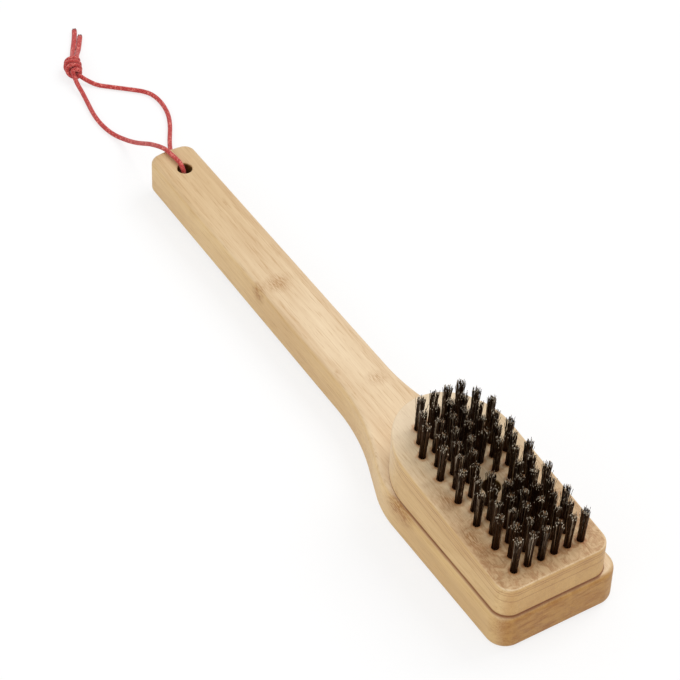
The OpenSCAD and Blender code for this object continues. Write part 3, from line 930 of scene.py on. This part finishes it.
def paddleSide(headHalf):
    # one side, from the butt end to the front end
    half = paddle["buttWidth"] / 2
    slope = math.tan(math.radians(paddle["taper"]))
    corner, butt = paddle["buttCorner"], paddle["buttRadius"]
    # the butt corner touches the side of the handle and the round of the butt end
    cornerY = half - corner / math.cos(math.radians(paddle["taper"]))
    b = 2 * (cornerY * slope - butt)
    c = butt ** 2 + cornerY ** 2 - (butt - corner) ** 2
    a = 1 + slope ** 2
    cornerX = (-b - math.sqrt(b * b - 4 * a * c)) / (2 * a)
    cornerAt = Vector((cornerX, cornerY + cornerX * slope))
    cornerAngle = math.degrees(math.atan2(cornerAt.y, cornerAt.x - butt))
    sideAngle, slantAngle = 90 + paddle["taper"], 90 + paddle["neckAngle"]
    neckRadius, shoulder = paddle["neckRadius"], paddle["shoulderRadius"]
    neckStart = Vector((paddle["neckStart"], half + paddle["neckStart"] * slope))
    neckAt = neckStart + neckRadius * heading(sideAngle)
    neckEnd = neckAt - neckRadius * heading(slantAngle)
    lean = math.radians(paddle["neckAngle"])
    shoulderY = headHalf - shoulder
    slant = (shoulderY + shoulder * math.cos(lean) - neckEnd.y) / math.sin(lean)
    shoulderAt = Vector((neckEnd.x + slant * math.cos(lean) + shoulder * math.sin(lean), shoulderY))
    headAt = Vector((wood["length"] - paddle["headCorner"], headHalf - paddle["headCorner"]))
    return (arcPoints((butt, 0), butt, 180, cornerAngle, 8, 1)
            + arcPoints(cornerAt, corner, cornerAngle, sideAngle, 14, 1)
            + arcPoints(neckAt, -neckRadius, sideAngle, slantAngle, 20)
            + arcPoints(shoulderAt, shoulder, slantAngle, 90, 20)
            + arcPoints(headAt, paddle["headCorner"], 90, 0, 16))


def slabFrom(name, outline, low, high):
    # the outline becomes a face, which is drawn up to its thickness
    piece = meshPiece(name, [(p.x, p.y, low) for p in outline],
                      edges=[(k, (k + 1) % len(outline)) for k in range(len(outline))])
    editAll(piece)
    bpy.ops.mesh.edge_face_add()
    bpy.ops.mesh.extrude_region_move(TRANSFORM_OT_translate={"value": (0, 0, high - low)})
    bpy.ops.mesh.select_all(action="SELECT")
    bpy.ops.mesh.normals_make_consistent(inside=False)
    leaveEdit()
    return piece


def roundEdges(piece, wanted, radius, segments):
    # bevels the edges whose two ends suit the test
    pickOnly(piece)
    bpy.ops.object.mode_set(mode="EDIT")
    bpy.ops.mesh.select_mode(type="EDGE")
    bpy.ops.mesh.select_all(action="DESELECT")
    leaveEdit()
    points = [v.co for v in piece.data.vertices]
    for edge in piece.data.edges:
        edge.select = wanted(points[edge.vertices[0]], points[edge.vertices[1]])
    bpy.ops.object.mode_set(mode="EDIT")
    bpy.ops.mesh.bevel(offset=radius, segments=segments, profile=0.5, affect="EDGES",
                       clamp_overlap=False)
    leaveEdit()


def sliceOff(piece, at, outward, threshold):
    editAll(piece)
    bpy.ops.mesh.bisect(plane_co=at, plane_no=outward, use_fill=True, clear_outer=True,
                        threshold=threshold)
    leaveEdit()


def cutWith(piece, cutter):
    cut = piece.modifiers.new("cut", "BOOLEAN")
    cut.operation = "DIFFERENCE"
    cut.solver = "EXACT"
    cut.object = cutter
    pickOnly(piece)
    bpy.ops.object.modifier_apply(modifier="cut")
    bpy.data.objects.remove(cutter)


def addRod(radius, low, high, place, sides, turn=None):
    deselectAll()
    middle = (0, 0, (high + low) / 2)
    bpy.ops.mesh.primitive_cylinder_add(vertices=sides, radius=radius, depth=high - low, location=middle)
    rod = bpy.context.object
    rod.data.transform((turn or Matrix()) @ Matrix.Translation(place) @ Matrix.Translation(middle))
    rod.location = (0, 0, 0)
    return rod


def makePaddle():
    low, high = 0.0, wood["thick"]
    evenHalf = paddle["headWidth"] / 2
    outline = paddleSide(evenHalf + paddle["headExtra"]) + mirrored(paddleSide(evenHalf))
    piece = slabFrom("paddleWood", outline, low, high)
    flat = 0.01 * mm
    roundEdges(piece, lambda a, b: abs(a.z - b.z) < flat, wood["edge"], 7)
    hole = paddle["holeDiameter"] / 2
    cutWith(piece, addRod(hole, low - hole, high + hole, (paddle["holeAt"], 0, 0), 64))
    centre = Vector((paddle["holeAt"], 0))

    def onRim(a, b):
        atRim = all(abs((p.xy - centre).length - hole) < flat for p in (a, b))
        return atRim and abs(a.z - b.z) < flat and min(abs(a.z - low), abs(a.z - high)) < flat
    roundEdges(piece, onRim, paddle["holeRim"], 5)
    piece.data.transform(toRest)
    # the flat it stands on
    sliceOff(piece, (0, 0, 0), (0, 0, -1), 1e-7)
    smoothByAngle(piece, paddle["smooth"])
    finishPiece(piece, "bamboo_paddle", finishes["paddle"], ["paddle"])


makePaddle()
print("paddle shaped")


def blockOutline():
    nose = blockHalf - block["noseStep"]
    cheek = block["cheekRadius"]
    noseAt = Vector((blockFront - block["length"] + nose, 0))
    drop = blockHalf - cheek
    reach = math.sqrt((cheek - nose) ** 2 - drop ** 2)
    cheekAt = noseAt + Vector((reach, drop))
    noseAngle = math.degrees(math.atan2(-drop, -reach))
    corner = block["corner"]
    side = (arcPoints(noseAt, nose, 180, noseAngle, 14, 1)
            + arcPoints(cheekAt, cheek, noseAngle, 90, 16, 1)
            + arcPoints((blockFront - corner, blockHalf - corner), corner, 90, 0, 14))
    return side + mirrored(side)


def makeBlock():
    # a slab that is tall enough everywhere is sliced along the sloped face, rounded and drilled
    low = wood["thick"]
    tall = low + block["thick"] + block["length"] * math.tan(blockSlope) * 2
    piece = slabFrom("blockWood", blockOutline(), low, tall)
    up = Vector((math.sin(blockSlope), 0, math.cos(blockSlope)))
    sliceOff(piece, faceStart, up, 1e-6)
    flat = 0.02 * mm
    roundEdges(piece, lambda a, b: all(abs((p - faceStart).dot(up)) < flat for p in (a, b)),
               block["edge"], 5)
    hole = tufts["diameter"] / 2 + tufts["fit"]
    proud = 2 * mm
    cutters = [addRod(hole, -tufts["holeDepth"], proud, (rowX(row), y, 0), 20, onFace)
               for row in range(tufts["rows"]) for y in rowPlaces(row)]
    cutters.append(addRod(block["recess"] / 2, -block["recessDepth"], proud,
                          (rowX(middleRow), 0, 0), 48, onFace))
    cutWith(piece, joinPieces(cutters))
    piece.data.transform(toRest)
    smoothByAngle(piece, block["smooth"])
    finishPiece(piece, "bamboo_block", finishes["block"], ["bristle_block"])


makeBlock()
print("block cut and drilled")

wires = {
    "count": 62,
    "radius": 0.17 * mm,
    "rings": 14,
    "root": -0.8 * mm,
    "kinds": 8,
    "firstSeed": 50,
    # degrees from one wire to the next, and how far in radians it may be off
    "turn": 137.508,
    "turnOff": 0.2,
    # the share of stray wires, which all stand outside this share of the radius
    "strays": 0.17,
    "strayFrom": 0.45,
    # in millimetres: how far the wires lean outward and sideways, end off the height and wave
    "out": (0.1, 0.95),
    "strayOut": (0.8, 2.5),
    "aside": 0.16,
    "strayAside": 0.5,
    "tip": (-2.4, 0.8),
    "swing": (0.08, 0.17),
    # a stray tip is further off, a wire has this many waves, and it bends more the higher it is
    "strayTip": 1.5,
    "waves": (3.4, 4.6),
    "bow": 1.7,
    # tones from 0 to 1: most wires are dark; the paler wires and the bright tips are painted glints
    "darkShare": 0.85,
    "dark": (0.0, 0.42),
    "pale": (0.5, 0.75),
    "glintTips": 0.4,
    "rootTone": 0.45,
    "smooth": 70,
}


def tuftKind(seed):
    # a bundle of crimped wires: points, faces and a tone for each, ready to copy
    rng = random.Random(seed)
    points, faces, tones = [], [], []
    rootRadius = tufts["diameter"] / 2 - wires["radius"]
    rings = wires["rings"]
    low = wires["root"]
    for k in range(wires["count"]):
        share = math.sqrt((k + 0.5) / wires["count"])
        angle = k * math.radians(wires["turn"]) + rng.uniform(-wires["turnOff"], wires["turnOff"])
        out = Vector((math.cos(angle), math.sin(angle), 0))
        across = Vector((-out.y, out.x, 0))
        root = out * rootRadius * share
        stray = rng.random() < wires["strays"] and share > wires["strayFrom"]
        outward = rng.uniform(*wires["strayOut"]) * mm if stray else rng.uniform(*wires["out"]) * mm * share
        sideways = rng.gauss(0, wires["strayAside"] if stray else wires["aside"]) * mm
        tall = tufts["height"] + rng.uniform(*wires["tip"]) * mm * (wires["strayTip"] if stray else 1)
        waves = rng.uniform(*wires["waves"])
        phase = rng.uniform(0, math.tau)
        swing = rng.uniform(*wires["swing"]) * mm
        # a paler tone for some wires and a bright tip for many are painted glints
        tone = rng.uniform(*(wires["dark"] if rng.random() < wires["darkShare"] else wires["pale"]))
        tip = 1.0 if rng.random() < wires["glintTips"] else tone
        bend = across * math.cos(phase) + out * math.sin(phase)
        base = len(points)
        for i in range(rings + 1):
            t = i / rings
            wave = swing * math.sin(math.tau * waves * t + phase) * min(1, t * 4)
            centre = root + (out * outward + across * sideways) * t ** wires["bow"] + bend * wave
            fromRoot = wires["rootTone"] + (1 - wires["rootTone"]) * min(1, t * 2.5)
            for q in range(3):
                turn = math.tau * q / 3 + phase
                points.append((centre.x + wires["radius"] * math.cos(turn),
                               centre.y + wires["radius"] * math.sin(turn), low + (tall - low) * t))
                tones.append(tip if i == rings else tone * fromRoot)
        for i in range(rings):
            a = base + 3 * i
            for q in range(3):
                w = (q + 1) % 3
                faces.append((a + q, a + w, a + 3 + w, a + 3 + q))
        faces.append((base + 2, base + 1, base))
        top = base + 3 * rings
        faces.append((top, top + 1, top + 2))
    return points, faces, tones


def makeTufts():
    kinds = [tuftKind(wires["firstSeed"] + k) for k in range(wires["kinds"])]
    count = 0
    for row in range(tufts["rows"]):
        points, faces, tones = [], [], []
        for y in rowPlaces(row):
            shape, shapeFaces, shapeTones = kinds[count % wires["kinds"]]
            turn = (toRest @ onFace @ Matrix.Translation((rowX(row), y, 0))
                    @ Matrix.Rotation(random.uniform(0, math.tau), 4, "Z"))
            start = len(points)
            points += [turn @ Vector(p) for p in shape]
            faces += [tuple(start + v for v in face) for face in shapeFaces]
            tones += shapeTones
            count += 1
        name = "wire_row_%02d" % (row + 1)
        piece = meshPiece(name, points, faces)
        markPoints(piece, "wireTone", tones)
        smoothByAngle(piece, wires["smooth"])
        finishPiece(piece, name, finishes["wire"], ["tuft_row_%02d" % (row + 1)])


makeTufts()
print("tufts set")


def dressSteel():
    for name, finish in (("tuft_anchors", "anchor"), ("block_screw", "screw")):
        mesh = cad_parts[name].data
        mesh.materials.clear()
        mesh.materials.append(finishes[finish])


dressSteel()

white = (1, 1, 1, 1)
room = {
    "floorSize": 12,
    "floorAt": -0.03 * mm,
    "floor": (0.86, 0.86, 0.86, 1),
    "glow": 0.74,
    "light": (0.72, 0.72, 0.72, 1),
    # place, aim, size in metres and strength in watts
    "keyLamp": ((-0.1, 1.5, 2.2), (0, 0, 0), 1.4, 24),
    "fillLamp": ((0.9, -2.2, 1.5), (0.1, 0, 0), 2.2, 14),
}


def seenDirectly(tree):
    # 1 where the camera, a reflection or a clear body looks, 0 for light that falls on the object
    path = addNode(tree, "LightPath").outputs
    seen = calc(tree, "MAXIMUM", path["Is Camera Ray"], path["Is Glossy Ray"])
    return calc(tree, "MAXIMUM", seen, path["Is Transmission Ray"])


def makeFloor():
    deselectAll()
    bpy.ops.mesh.primitive_plane_add(size=room["floorSize"], location=(0, 0, room["floorAt"]))
    floor = bpy.context.object
    floor.name = "floor"
    material, tree, shader = newMaterial("paleFloor")
    seen = seenDirectly(tree)
    feed(tree, shader, {"Base Color": mixed(tree, seen, room["floor"], white),
                        "Roughness": 1.0, "Specular IOR Level": 0.0})
    glow = addNode(tree, "Emission", {"Strength": 1.0})
    top = addNode(tree, "MixShader", {0: times(tree, seen, room["glow"]), 1: shader.outputs[0],
                                      2: glow.outputs[0]})
    # clear from below, so that the underside of the brush can be looked at
    clear = addNode(tree, "BsdfTransparent").outputs[0]
    fromBelow = addNode(tree, "NewGeometry").outputs["Backfacing"]
    whole = addNode(tree, "MixShader", {0: fromBelow, 1: top.outputs[0], 2: clear})
    feed(tree, tree.nodes["Material Output"], {"Surface": whole.outputs[0]})
    floor.data.materials.append(material)


def addLamp(name):
    place, aim, size, watts = room[name]
    data = bpy.data.lights.new(name, "AREA")
    data.size = size
    data.energy = watts
    lamp = bpy.data.objects.new(name, data)
    bpy.context.scene.collection.objects.link(lamp)
    lamp.location = place
    lamp.rotation_euler = (Vector(aim) - Vector(place)).to_track_quat("-Z", "Y").to_euler()


def setLight():
    addLamp("keyLamp")
    addLamp("fillLamp")
    world = bpy.data.worlds.new("softRoom")
    bpy.context.scene.world = world
    world.use_nodes = True
    tree = world.node_tree
    feed(tree, tree.nodes["Background"], {"Color": mixed(tree, seenDirectly(tree), room["light"], white)})


makeFloor()
setLight()
bpy.context.scene.view_settings.view_transform = "Standard"
print("all pieces in place")
